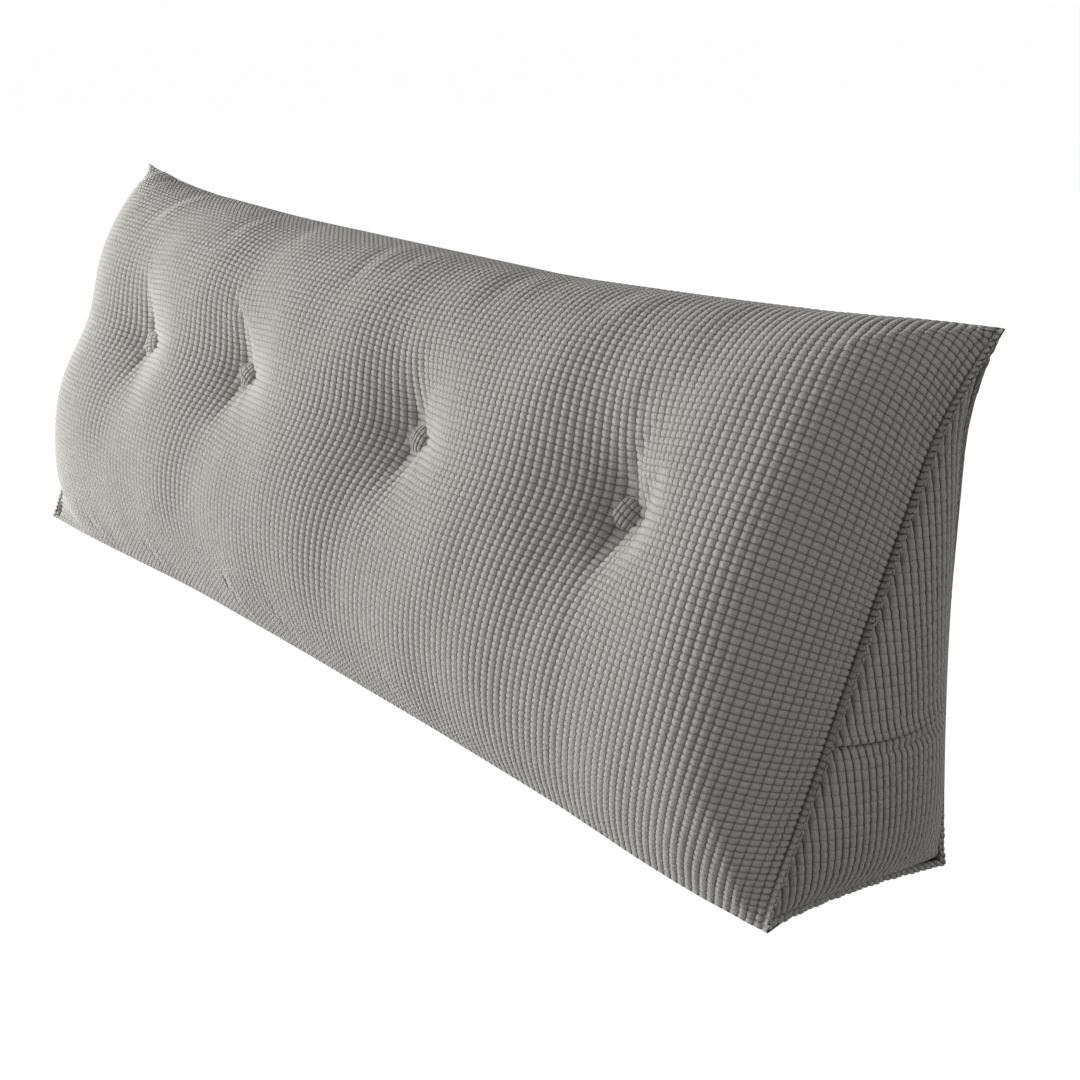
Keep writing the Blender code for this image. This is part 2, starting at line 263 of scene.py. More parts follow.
def tufting(x, up_slope):
    """How far the buttons pull the face in at a place x along and up_slope metres up the slope."""
    pull = np.zeros_like(x)
    full = FULLNESS * np.exp(-(((x - FULL_MIDDLE) / FULL_REACH) ** FULL_SQUARENESS))
    tufts = zip(BUTTONS, CREASE_LEANS, DIMPLE_WIDTHS, VALLEY_DEPTHS)
    for (button_x, share, turn), leans, (left, right), valley in tufts:
        rise = up_slope - share * slope_length()
        away = np.hypot(x - button_x, rise)
        width = left + (right - left) * (1 + np.tanh((x - button_x) / DIMPLE_BLEND)) / 2
        pull += DIMPLE_DEPTH * np.exp(-((away / width) ** DIMPLE_SHARPNESS))
        lean = np.where(rise > 0, leans[0], leans[1])
        from_crease = x - button_x + lean * (1 - np.exp(-((rise / CREASE_BEND) ** 2)))
        pull += valley * np.exp(-((from_crease / VALLEY_WIDTH) ** 2))
        near = np.hypot(from_crease, CREASE_SOFTNESS) - CREASE_SOFTNESS
        pull += CREASE_DEPTH * np.exp(-near / CREASE_WIDTH - (rise / CREASE_REACH) ** 2)
        pull += math.tan(math.radians(turn)) * (x - button_x) * np.exp(-((away / SEAT_WIDTH) ** 2))
        full = full * (1 - np.exp(-((away / FULL_WIDTH) ** 2)))
    pull -= full
    first, last = BUTTONS[0][0], BUTTONS[-1][0]
    rise = up_slope - BUTTON_ROW * slope_length()
    row = ROW_DEPTH * np.exp(-((np.clip(x - last, 0, None) / ROW_FADE) ** 2))
    row += LEFT_ROW_DEPTH * np.clip((first - x) / (HALF_LENGTH + first), 0, 1)
    return pull + row * np.exp(-((rise / ROW_WIDTH) ** 2))


deepest = tufting(np.array([button[0] for button in BUTTONS]), BUTTON_ROW * slope_length())
print("pull at the buttons in mm:", (deepest * 1000).round(1))

# %% [markdown]
# Where the cover is gathered into a seam, small folds run out of it. A finer simulation would make folds
# too, but in places of its own. Here each is a line with a depth and a width, put where the photograph
# shows it. Loose filling is never quite even either, so a few long waves of a millimetre or less lie over
# the face, with one low bulge near the right end, and the lower left corner is flat, because little
# filling gets into it.

# %% Folds, waves and the flat corner
FOLDS = [
    # x and share up the face of its two ends, depth and width in mm; a minus depth is a ridge
    (-0.518, 1.02, -0.540, 0.90, -1.5, 11.0), (-0.548, 1.00, -0.566, 0.87, 1.8, 14.0),
    (-0.315, 1.02, -0.336, 0.94, -1.5, 10.0), (-0.344, 1.00, -0.356, 0.91, 1.9, 13.0),
    (-0.222, 1.02, -0.214, 0.96, -1.0, 9.0), (-0.245, 0.99, -0.230, 0.94, 1.2, 11.0),
    (-0.040, 1.02, -0.028, 0.92, -1.6, 9.0), (-0.062, 1.00, -0.048, 0.89, 2.0, 12.0),
    (0.030, 1.02, 0.028, 0.94, -1.1, 9.0), (0.012, 1.00, 0.010, 0.92, 1.3, 10.0),
    (0.215, 1.02, 0.222, 0.94, -1.8, 18.0), (0.184, 1.00, 0.190, 0.93, 2.6, 18.0),
    (0.410, 1.02, 0.390, 0.95, -2.0, 20.0), (0.358, 1.00, 0.350, 0.94, 1.8, 20.0),
    (0.560, 1.02, 0.550, 0.95, -1.4, 18.0), (0.520, 1.00, 0.515, 0.93, 1.4, 18.0),
    (0.550, 1.00, 0.525, 0.80, 3.5, 34.0),
    (0.668, 0.930, 0.735, 0.990, -4.0, 8.0), (0.690, 0.890, 0.745, 0.935, 4.0, 14.0),
    (0.700, 0.985, 0.720, 1.010, 1.6, 7.0),
    (-0.571, 0.045, -0.510, -0.010, 3.2, 6.5), (-0.558, 0.060, -0.496, 0.000, -1.2, 9.0),
    (-0.400, 0.060, -0.360, -0.010, 3.0, 6.0), (-0.386, 0.075, -0.346, 0.000, -1.2, 9.0),
    (-0.180, 0.085, -0.144, -0.010, 3.0, 6.0), (-0.166, 0.100, -0.130, 0.000, -1.4, 9.0),
    (-0.070, 0.085, -0.030, 0.020, 1.8, 7.0), (0.160, 0.070, 0.185, 0.000, 1.6, 9.0),
    (0.694, 0.130, 0.712, 0.000, -3.0, 11.0), (0.712, 0.170, 0.727, 0.010, 2.8, 9.0),
    (0.660, 0.120, 0.676, 0.000, 1.8, 12.0),
]
WAVES = [
    # waves along X and up the slope per metre, where they start, height in mm
    (2.3, 1.1, 0.4, 1.0), (3.9, -2.2, 1.7, 0.9), (6.1, 2.9, 2.9, 0.7),
    (8.7, -3.7, 0.9, 0.5), (1.3, 6.3, 4.1, 0.6),
]
BULGE_PLACE, BULGE_WIDTH = (0.672, 0.290), (0.080, 0.120)
BULGE_HEIGHT = 0.005
DOG_EAR_LINE = (-0.671, 0.036)
DOG_EAR_TURN = math.radians(230.0)
DOG_EAR_SINK, DOG_EAR_SOFTNESS = 0.011, 0.010


def folded(x, up_slope):
    """Small folds along the seams, the flat lower left corner, and the soft unevenness of loose filling."""
    length = slope_length()
    sink = np.zeros_like(x)
    for x0, share0, x1, share1, depth, width in FOLDS:
        run = np.array([x1 - x0, (share1 - share0) * length])
        t = ((x - x0) * run[0] + (up_slope - share0 * length) * run[1]) / (run @ run)
        t = np.clip(t, 0, 1)
        away = np.hypot(x - x0 - t * run[0], up_slope - share0 * length - t * run[1])
        sink += depth / 1000 * np.exp(-((away / (width / 1000)) ** 2))
    for per_x, per_slope, start, height in WAVES:
        sink += height / 1000 * np.sin(2 * math.pi * (per_x * x + per_slope * up_slope) + start)
    bulge = ((x - BULGE_PLACE[0]) / BULGE_WIDTH[0]) ** 2 + ((up_slope - BULGE_PLACE[1]) / BULGE_WIDTH[1]) ** 2
    sink -= BULGE_HEIGHT * np.exp(-bulge)
    along, up = x - DOG_EAR_LINE[0], up_slope - DOG_EAR_LINE[1]
    beyond = along * math.cos(DOG_EAR_TURN) + up * math.sin(DOG_EAR_TURN)
    return sink + DOG_EAR_SINK * (1 + np.tanh(beyond / DOG_EAR_SOFTNESS)) / 2


print(len(FOLDS), "folds and", len(WAVES), "waves")

# %% [markdown]
# Now the sides can be put together. The face is a crown that stands out from the flat slope between the
# front and top seams, less what the buttons and folds take away. The back has a low crown, and the base
# is flat, because the pillow stands on it.

# %% The whole form
FACE_CROWN = 0.1103
BACK_CROWN = 0.018
LOWER_FACE, UPPER_FACE = (2.0, 0.85), (3.2, 0.50)  # power and softness of a roundness
BACK_ROUND = (2.4, 0.8)
PULL_ROUND, PULL_FALL = (4.0, 0.8), 0.5
FOLD_ROUND, FOLD_FALL = (16.0, 0.8), 0.25
END_ROUNDING = {-1: (11.0, 0.45), 1: (21.0, 0.52)}
REACH_POWER = 12


def roundness(share, power, softness):
    """Crown across a side: 0 at both seams, 1 half way, steep at the seams."""
    return np.clip(1 - np.abs(2 * share - 1) ** power, 0, None) ** softness


def on_wedge(along, side, share):
    """Points of the filled wedge: along is -1 to 1, share goes from 0 to 1 across the named side."""
    along, share = np.broadcast_arrays(np.asarray(along, float), np.asarray(share, float))
    front, top, back = seam_lines(along)
    start, stop = {"face": (front, top), "back": (top, back), "base": (back, front)}[side]
    flat = start + (stop - start) * share[..., None]
    straight = HALF_LENGTH - FLANGE_PROUD
    reach = end_reach(flat[..., 0], flat[..., 1]) - FLANGE_PROUD - PANEL_THICKNESS - GAP
    x = along * (straight + (reach - straight) * np.abs(along) ** REACH_POWER)
    late = np.where(along > 0, END_ROUNDING[1][0], END_ROUNDING[-1][0])
    soft = np.where(along > 0, END_ROUNDING[1][1], END_ROUNDING[-1][1])
    fall = np.clip(1 - np.abs(along) ** late, 0, None) ** soft
    y, z = flat[..., 0].copy(), flat[..., 1].copy()
    if side == "face":
        slope = (top - front) / np.linalg.norm(top - front, axis=-1, keepdims=True)
        rounded = np.where(share > 0.5, roundness(share, *UPPER_FACE), roundness(share, *LOWER_FACE))
        up_slope = share * slope_length()
        pull = tufting(x, up_slope) * roundness(share, *PULL_ROUND) * fall**PULL_FALL
        pull += folded(x, up_slope) * roundness(share, *FOLD_ROUND) * fall**FOLD_FALL
        proud = np.maximum(FACE_CROWN * rounded * fall - pull, 0)
        y -= proud * slope[..., 1]
        z += proud * slope[..., 0]
    if side == "back":
        y += BACK_CROWN * roundness(share, *BACK_ROUND) * fall
    return np.stack([x, y, z], -1) + MODEL_SHIFT


base_ends = on_wedge(np.array([[-1.0], [1.0]]), "base", np.array([0.0, 1.0]))
print("reach of the form along X:", base_ends[..., 0].min().round(4), base_ends[..., 0].max().round(4))

# %% [markdown]
# The cover is cut from plush corduroy. Its ribs run along the pillow, and every rib is divided into
# kernels, so the cloth is a grid of cells, one kernel long and one rib wide. Cloth does not stretch much:
# where a button pulls it in, the cells crowd together. A flat pattern laid on from in front would stretch
# on every slope. So the points of every line of cells are first spaced evenly over the form, by turns
# along the pillow and up the face, and then each point slides along the surface towards the middle of its
# neighbours.

# %% Cells of the cover
KERNELS = 158
RIBS = {"face": 89, "back": 78, "base": 32}
FORM_ROWS = {"face": 45, "back": 20, "base": 8}
EVENING_ROUNDS = 4
SLIDES, SLIDE_SHARE = 12, 0.8
SMALL = 1e-4


def evenly(values, lengths, count):
    """Read values, one row for each place on a line, at count + 1 places of equal spacing."""
    wanted = np.linspace(0, lengths[-1], count + 1)
    return np.stack([np.interp(wanted, lengths, column) for column in values.T], axis=-1)


def line_lengths(points):
    steps = np.linalg.norm(np.diff(points, axis=0), axis=1)
    return np.concatenate([[0.0], np.cumsum(steps)])


def even_out(cells):
    """Space a grid of (along, share) evenly on the face, along its lines of both directions."""
    for _ in range(2):
        place = on_wedge(cells[..., 0], "face", cells[..., 1])
        lines = [evenly(cells[i], line_lengths(place[i]), len(cells[i]) - 1) for i in range(len(cells))]
        cells = np.array(lines).transpose(1, 0, 2)
    return cells


def slide(cells):
    """Let every inner point slide on the face towards the middle of its four neighbours."""
    place = on_wedge(cells[..., 0], "face", cells[..., 1])
    away = (place[2:, 1:-1] + place[:-2, 1:-1] + place[1:-1, 2:] + place[1:-1, :-2]) / 4 - place[1:-1, 1:-1]
    along, share = cells[1:-1, 1:-1, 0], cells[1:-1, 1:-1, 1]
    across = (on_wedge(along + SMALL, "face", share) - place[1:-1, 1:-1]) / SMALL
    up = (on_wedge(along, "face", share + SMALL) - place[1:-1, 1:-1]) / SMALL
    aa, au, uu = (across**2).sum(-1), (across * up).sum(-1), (up**2).sum(-1)
    da, du = (across * away).sum(-1), (up * away).sum(-1)
    cells = cells.copy()
    cells[1:-1, 1:-1, 0] += SLIDE_SHARE * (da * uu - du * au) / (aa * uu - au**2)
    cells[1:-1, 1:-1, 1] += SLIDE_SHARE * (du * aa - da * au) / (aa * uu - au**2)
    return cells


columns = np.linspace(-1, 1, KERNELS + 1)
rows = np.linspace(0, 1, FORM_ROWS["face"] + 1)
face_cells = np.stack(np.meshgrid(columns, rows, indexing="ij"), axis=-1)
for _ in range(EVENING_ROUNDS):
    face_cells = even_out(face_cells)
for _ in range(SLIDES):
    face_cells = slide(face_cells)
face_form = on_wedge(face_cells[..., 0], "face", face_cells[..., 1])
kernel_lengths = np.linalg.norm(np.diff(face_form, axis=0), axis=2) * 1000
rib_widths = np.linalg.norm(np.diff(face_form, axis=1), axis=2) * 1000 * FORM_ROWS["face"] / RIBS["face"]
for name, sizes in (("kernel lengths", kernel_lengths), ("rib widths", rib_widths)):
    small, large = np.percentile(sizes, (5, 95)).round(1)
    print(name, "in mm: 5% under", small, "and 5% over", large)


# %% The form as one grid
def side_cells(side, row_count):
    """Cells of the back or the base, whose columns meet those of the face at the seams."""
    top, front = face_cells[:, -1, 0], face_cells[:, 0, 0]
    share = np.linspace(0, 1, row_count + 1)
    if side == "back":
        return top[:, None], share
    return top[:, None] * (1 - share) + front[:, None] * share, share


def form_grid():
    """Places of the whole cover, column by column, round from the front seam to the front seam again."""
    sides = [face_form]
    for side in ("back", "base"):
        along, share = side_cells(side, FORM_ROWS[side])
        sides.append(on_wedge(along, side, share)[:, 1:])
    return np.concatenate(sides, axis=1)


form = form_grid()
print("form grid:", form.shape)

# %% [markdown]
# The filling presses the cover out between the seams and the buttons. A smoothing modifier would only
# round what is there, so Blender's cloth does this. The form becomes a mesh, its seams, its base and the
# places under the buttons are pinned, and a pressure inside swells it for twenty frames, without gravity.
# It starts from a slightly smaller shape, and no point may move further than a cap. What it gives is kept
# as a movement of each point of the grid, so the fine cloth can be laid over it afterwards.

# %% Cloth over the filling
FRAMES = 20
PRESSURE = 4.0
LARGEST_MOVE = 0.005
SHRINK = 0.003
PIN_RADIUS = 0.017
TINY, TINIEST = 1e-9, 1e-12  # these keep a division from meeting zero


def select_verts(obj, chosen):
    """Select the vertices of a mesh that a list of true and false names, and stay in edit mode."""
    bpy.ops.object.select_all(action="DESELECT")
    bpy.context.view_layer.objects.active = obj
    obj.select_set(True)
    bpy.ops.object.mode_set(mode="EDIT")
    bpy.ops.mesh.select_mode(type="VERT")
    bpy.ops.mesh.select_all(action="DESELECT")
    bpy.ops.object.mode_set(mode="OBJECT")
    obj.data.vertices.foreach_set("select", np.asarray(chosen, bool))
    bpy.ops.object.mode_set(mode="EDIT")


def read_uv(obj):
    """The UV map as an array with one row for each corner of a face."""
    uv = np.empty(len(obj.data.loops) * 2, np.float32)
    obj.data.uv_layers.active.data.foreach_get("uv", uv)
    return uv.reshape(-1, 2)


def write_uv(obj, uv):
    obj.data.uv_layers.active.data.foreach_set("uv", uv.astype(np.float32).ravel())


def vert_places(obj):
    places = np.empty(len(obj.data.vertices) * 3, np.float32)
    obj.data.vertices.foreach_get("co", places)
    return places.reshape(-1, 3).astype(float)


def move_verts(obj, places):
    obj.data.vertices.foreach_set("co", places.astype(np.float32).ravel())


def grid_object(name, places, u_step=1.0, v_step=1.0):
    """A grid primitive laid on places[column, row]; its UV map counts u_step and v_step a step."""
    column_count, row_count = places.shape[0] - 1, places.shape[1] - 1
    bpy.ops.mesh.primitive_grid_add(x_subdivisions=column_count, y_subdivisions=row_count, size=2)
    obj = bpy.context.object
    obj.name = obj.data.name = name
    move_verts(obj, places.transpose(1, 0, 2))
    write_uv(obj, read_uv(obj) * (column_count * u_step, row_count * v_step))
    obj.data.update()
    return obj


def grid_normals(places):
    """Unit directions square to a grid of places, outwards on the cover."""
    across = np.gradient(places, axis=0)
    up = np.gradient(places, axis=1)
    normal = np.cross(across, up)
    return normal / np.maximum(np.linalg.norm(normal, axis=-1, keepdims=True), TINIEST)


def pin_weights(places):
    """1 where the cover is held, 0 where it is free: seams, ends, base and the places of the buttons."""
    weights = np.zeros(places.shape[:2])
    face_end = FORM_ROWS["face"]
    weights[:, [0, face_end, face_end + FORM_ROWS["back"]]] = 1
    weights[:, face_end + FORM_ROWS["back"]:] = 1
    weights[[0, -1], :] = 1
    for node in ("button_1", "button_2", "button_3", "button_4"):
        low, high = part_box(node)
        away = np.linalg.norm(places - np.array((low + high) / 2), axis=-1)
        weights[away < PIN_RADIUS] = 1
    return weights


def swell(places):
    """Simulate the cover over its filling and return how far each grid point moved."""
    weights = pin_weights(places)
    start = places - grid_normals(places) * SHRINK * (1 - weights[..., None])
    obj = grid_object("cover_form", start)
    group = obj.vertex_groups.new(name="held")
    flat_weights = weights.T.ravel()
    group.add([int(i) for i in np.flatnonzero(flat_weights > 0)], 1.0, "REPLACE")
    rest = vert_places(obj)
    modifier = obj.modifiers.new("filling", "CLOTH")
    cloth = modifier.settings
    cloth.quality = 6
    cloth.mass = 0.3
    cloth.tension_stiffness = cloth.compression_stiffness = 15
    cloth.shear_stiffness = 5
    cloth.bending_stiffness = 1.0
    cloth.vertex_group_mass = "held"
    cloth.use_pressure = True
    cloth.uniform_pressure_force = PRESSURE
    cloth.effector_weights.gravity = 0.0
    modifier.collision_settings.use_collision = False
    scene = bpy.context.scene
    for number in range(1, FRAMES + 1):
        scene.frame_set(number)
    bpy.ops.object.select_all(action="DESELECT")
    obj.select_set(True)
    bpy.context.view_layer.objects.active = obj
    bpy.ops.object.modifier_apply(modifier="filling")
    scene.frame_set(1)
    move = vert_places(obj) - rest
    size = np.linalg.norm(move, axis=1, keepdims=True)
    print("largest free move", (size.max() * 1000).round(1), "mm, mean", (size.mean() * 1000).round(2), "mm")
    move *= np.minimum(1, LARGEST_MOVE / np.maximum(size, TINY))
    bpy.data.objects.remove(obj, do_unlink=True)
    moved = start + move.reshape(places.shape[1], places.shape[0], 3).transpose(1, 0, 2)
    return moved - places


swelling = swell(form)
print("cover moved up to", (np.linalg.norm(swelling, axis=-1).max() * 1000).round(1), "mm")

# %% [markdown]
# Now the fine cloth. A bump in the material could draw the ribs, but they would vanish at the outline. So
# every kernel gets three steps along the rib and every rib of the face three steps across it, and the
# ribs and kernels stand up as real relief: a groove between two ribs, a low waist between two kernels.
# The back and the base have wider steps, and their ribs are left to the material. Places between the
# points of the form are read on smooth curves through them. At each end three more columns carry the
# cover out over the turned edge, in a row of small rounded rib ends.

# %% Finer grids
STEPS_A_KERNEL = 3
STEPS_A_RIB = 3
FINE_ROWS = {"face": RIBS["face"] * STEPS_A_RIB, "back": 22, "base": 6}
GROOVE_DEPTH = 0.0015
WAIST_DEPTH = 0.0015
STITCH_COLUMN = 6
STITCH_DEPTH, STITCH_PIT = 0.0003, 0.0010
FLOOR_CLEARANCE = 0.0002
EDGE_COLUMNS = [0.0078, 0.0055, 0.0029]  # how far the turned edge stands out at each extra column
COVER_SHARE = 0.35  # of that on the back and base, where the flange itself shows
SCALLOP, SCALLOP_CHANGE = 0.0024, 0.45
CHANCE_STEP, CHANCE_STRETCH = 12.9898, 437.585


def smooth_read(values, places):
    """Read a list of values at places between them, on a smooth curve through them."""
    last = len(values) - 1
    left = np.clip(np.floor(places + TINY).astype(int), 0, last - 1)
    t = (places - left).reshape((-1,) + (1,) * (values.ndim - 1))
    a, b, c, d = (values[np.clip(left + step, 0, last)] for step in (-1, 0, 1, 2))
    return b + 0.5 * t * (c - a + t * (2 * a - 5 * b + 4 * c - d + t * (3 * (b - c) + d - a)))


def finer(grid, column_count, row_count):
    """A grid read at column_count by row_count even steps."""
    across = smooth_read(grid, np.linspace(0, grid.shape[0] - 1, column_count + 1))
    turned = smooth_read(across.transpose(1, 0, 2), np.linspace(0, grid.shape[1] - 1, row_count + 1))
    return turned.transpose(1, 0, 2)


fine_columns = KERNELS * STEPS_A_KERNEL
fine_cells = finer(face_cells, fine_columns, FINE_ROWS["face"])
fine_cells[..., 0] = np.clip(fine_cells[..., 0], -1, 1)
fine_cells[..., 1] = np.clip(fine_cells[..., 1], 0, 1)


def fine_grid():
    """Places of the fine cover before its relief: the form read closely, with the swelling added."""
    parts = []
    first_row = 0
    for side in ("face", "back", "base"):
        if side == "face":
            along, share = fine_cells[..., 0], fine_cells[..., 1]
        else:
            top, front = fine_cells[:, -1, 0], fine_cells[:, 0, 0]
            share = np.linspace(0, 1, FINE_ROWS[side] + 1)
            along = top[:, None] + (front - top)[:, None] * (share if side == "base" else 0 * share)
        moved = finer(swelling[:, first_row:first_row + FORM_ROWS[side] + 1], fine_columns, FINE_ROWS[side])
        first_row += FORM_ROWS[side]
        part = on_wedge(along, side, share) + moved
        parts.append(part if side == "face" else part[:, 1:])
    return np.concatenate(parts, axis=1)


def rib_chance(cells):
    """A steady number from 0 to 1 for every rib, which looks like chance."""
    return np.modf(np.abs(np.sin(np.floor(cells) * CHANCE_STEP)) * CHANCE_STRETCH)[0]


def turned_edge(end, side):
    """Three more columns that carry the cover out over its flange, scalloped between the ribs."""
    row = np.arange(len(end))
    on_face = (row > 0) & (row < FINE_ROWS["face"])
    beyond_face = (row > FINE_ROWS["face"]) & (row < len(end) - 1)
    width = np.where(beyond_face, COVER_SHARE, 1.0)
    scallop = SCALLOP * ((row % STEPS_A_RIB == 0) + SCALLOP_CHANGE * rib_chance(row / STEPS_A_RIB)) * on_face
    columns = []
    for out in EDGE_COLUMNS:
        reach = out * width - scallop * out / EDGE_COLUMNS[0]
        columns.append(end + np.stack([side * reach, 0 * reach, 0 * reach], axis=-1))
    return np.array(columns)


fine = fine_grid()
fine = np.concatenate([turned_edge(fine[0], -1), fine, turned_edge(fine[-1], 1)[::-1]])
print("fine grid:", fine.shape)


# %% Relief of the ribs
def rib_relief(places):
    """Sink the grooves between ribs, the waists between kernels and the end stitching into the face."""
    column = np.arange(places.shape[0])[:, None]
    row = np.arange(places.shape[1])[None, :]
    on_face = (row > 0) & (row < FINE_ROWS["face"])
    groove = (row % STEPS_A_RIB == 0) * on_face
    inner = (column > 0) & (column < places.shape[0] - 1)
    waist = (column % STEPS_A_KERNEL == 0) * inner * on_face
    depth = GROOVE_DEPTH * groove + WAIST_DEPTH * waist
    stitched = (column == STITCH_COLUMN) | (column == places.shape[0] - 1 - STITCH_COLUMN)
    pit = (row % (2 * STEPS_A_RIB) == 0) * on_face
    depth = depth + stitched * (STITCH_DEPTH * on_face + STITCH_PIT * pit)
    sunk = places - grid_normals(places) * depth[..., None]
    sunk[..., 2] = np.maximum(sunk[..., 2], FLOOR_CLEARANCE)
    return sunk


cover = grid_object("filled_cover", rib_relief(fine), 1 / STEPS_A_KERNEL, 1 / STEPS_A_RIB)
print("cover has", len(cover.data.polygons), "faces")

# %% [markdown]
# The grid is still a tube that is open along the front seam and at both ends. The seam is sewn by merging
# its doubled points. Each end could be filled with one large face, but that would shade badly, so its rim
# is extruded inwards in rings that shrink to a point. The end panels cover them.

# %% Closing the cover
CAP_STEPS = [(0.988, 0.012), (0.9, 0.012), (0.6, 0.008), (0.3, 0.0)]  # size of each ring, metres further in
SEAM_MERGE = 1e-5


def set_uv_rows(obj):
    """Make the UV map count ribs round the section: the back and base have fewer rows than ribs."""
    uv = read_uv(obj)
    row_marks = np.cumsum([0] + [FINE_ROWS[side] for side in ("face", "back", "base")])
    rib_marks = np.cumsum([0] + [RIBS[side] for side in ("face", "back", "base")])
    uv[:, 1] = np.interp(uv[:, 1] * STEPS_A_RIB, row_marks, rib_marks)
    write_uv(obj, uv)


def close_cover(obj):
    """Sew the front seam shut and close both ends, where the end panels cover them."""
    select_verts(obj, np.ones(len(obj.data.vertices)))
    bpy.ops.mesh.remove_doubles(threshold=SEAM_MERGE)
    for side in (-1, 1):
        bpy.ops.object.mode_set(mode="OBJECT")
        mesh = bmesh.new()
        mesh.from_mesh(obj.data)
        rim = [v.is_boundary and v.co.x * side > 0 for v in mesh.verts]
        mesh.free()
        select_verts(obj, rim)
        for size, deeper in CAP_STEPS:
            bpy.ops.mesh.extrude_edges_move(TRANSFORM_OT_translate={"value": (-side * deeper, 0, 0)})
            bpy.ops.transform.resize(value=(1.0, size, size), center_override=tuple(end_centre(side)))
        bpy.ops.mesh.merge(type="CENTER")
    bpy.ops.mesh.select_all(action="SELECT")
    bpy.ops.mesh.normals_make_consistent(inside=False)
    bpy.ops.object.mode_set(mode="OBJECT")


def end_centre(side):
    """The centre from which all three edges of an end lie equally far."""
    front, top, back = (np.append(0, line) for line in seam_lines(float(side)))
    lengths = [np.linalg.norm(top - back), np.linalg.norm(back - front), np.linalg.norm(front - top)]
    centre = (front * lengths[0] + top * lengths[1] + back * lengths[2]) / sum(lengths)
    return centre + MODEL_SHIFT


set_uv_rows(cover)
close_cover(cover)
cover.data.shade_smooth()
print("closed cover has", len(cover.data.vertices), "points")

# %% [markdown]
# Plush corduroy is a velvet: its pile stands up in rows of small rounded kernels. Seen along the pile it
# is lighter than seen from its tips, which the shader's sheen does. The grooves between the ribs, where
# little light gets in, are darker in the colour, as painted shade, and the rims of the kernels are
# lighter in the colour, as a painted highlight. Hair would show single fibres, but the finished mesh loses
# them, so the pile is drawn by nodes. The material reads the cover's UV map, which counts kernels and ribs,
# so the pattern follows the cloth wherever it turns.

# %% Small helpers for nodes
def node_maths(tree, operation, *inputs):
    """Add a math node and join its inputs: numbers are set, sockets are linked."""
    node = tree.nodes.new("ShaderNodeMath")
    node.operation = operation
    for socket, value in zip(node.inputs, inputs):
        if isinstance(value, bpy.types.NodeSocket):
            tree.links.new(value, socket)
        else:
            socket.default_value = value
    return node.outputs[0]


def from_middle(tree, value):
    """0 in the middle of a cell and 1 at its edges."""
    part = node_maths(tree, "FRACT", value)
    return node_maths(tree, "ABSOLUTE", node_maths(tree, "MULTIPLY_ADD", part, 2.0, -1.0))


def noise(tree, scale, detail=2.0, roughness=0.5):
    """Noise in the piece's own metres."""
    place = tree.nodes.new("ShaderNodeTexCoord")
    node = tree.nodes.new("ShaderNodeTexNoise")
    node.inputs["Scale"].default_value = scale
    node.inputs["Detail"].default_value = detail
    node.inputs["Roughness"].default_value = roughness
    tree.links.new(place.outputs["Object"], node.inputs["Vector"])
    return node.outputs["Fac"]


def mix_colours(tree, share, low, high):
    mix = tree.nodes.new("ShaderNodeMix")
    mix.data_type = "RGBA"
    tree.links.new(share, mix.inputs["Factor"])
    for socket, value in ((mix.inputs[6], low), (mix.inputs[7], high)):
        if isinstance(value, bpy.types.NodeSocket):
            tree.links.new(value, socket)
        else:
            socket.default_value = (*value, 1.0)
    return mix.outputs[2]


# %% The shape of a kernel
STRAY_SCALE, STRAY = 140.0, 0.10
RIB_POWER, KERNEL_POWER, RIM_POWER = 4.5, 5.0, 3.0


def kernel_shape(tree, waist):
    """Height of the pile over one cell, 0 in the groove to 1 on a kernel, and how near its rim a place is.
    The colour uses the height for painted shade in the grooves and the rim for a painted highlight.
    """
    uv = tree.nodes.new("ShaderNodeUVMap")
    parts = tree.nodes.new("ShaderNodeSeparateXYZ")
    tree.links.new(uv.outputs["UV"], parts.inputs[0])
    stray = node_maths(tree, "MULTIPLY_ADD", noise(tree, STRAY_SCALE), 2 * STRAY, -STRAY)
    along = from_middle(tree, node_maths(tree, "ADD", parts.outputs[0], stray))
    across = from_middle(tree, node_maths(tree, "ADD", parts.outputs[1], stray))
    rib = node_maths(tree, "SUBTRACT", 1.0, node_maths(tree, "POWER", across, RIB_POWER))
    kernel = node_maths(tree, "MULTIPLY", node_maths(tree, "POWER", along, KERNEL_POWER), waist)
    height = node_maths(tree, "MULTIPLY", rib, node_maths(tree, "SUBTRACT", 1.0, kernel))
    rim_highlight_masks = [node_maths(tree, "POWER", part, RIM_POWER) for part in (along, across)]
    return height, node_maths(tree, "MAXIMUM", *rim_highlight_masks)


# %% A corduroy material
CREST_COLOUR = (0.40, 0.386, 0.362)
# Painted shade: the grooves between the ribs take this share of the crest colour, darker where little light
# gets in.
GROOVE_PAINTED_SHADE = 0.34
# Painted highlight: a kernel's middle takes the first share of the crest colour, its rim the second, lighter
# one, as if the rim catches the light.
MIDDLE_SHARE, RIM_PAINTED_HIGHLIGHT = 0.90, 1.18
PATCH_SCALE, PATCH_CHANGE = 7.0, 0.06
MOTTLE_SCALE, MOTTLE_CHANGE = 380.0, 0.24
FUZZ_SCALE, FUZZ_CHANGE = 900.0, 0.52
FUZZ_DETAIL, FUZZ_ROUGHNESS, FUZZ_RELIEF = 3.0, 0.6, 0.35
PILE_HEIGHT = 0.0018
CLOTH_FINISH = {
    "Roughness": 0.95,
    "Specular IOR Level": 0.2,
    "Sheen Weight": 0.5,
    "Sheen Roughness": 0.45,
    "Sheen Tint": (1.0, 0.98, 0.95, 1.0),
}


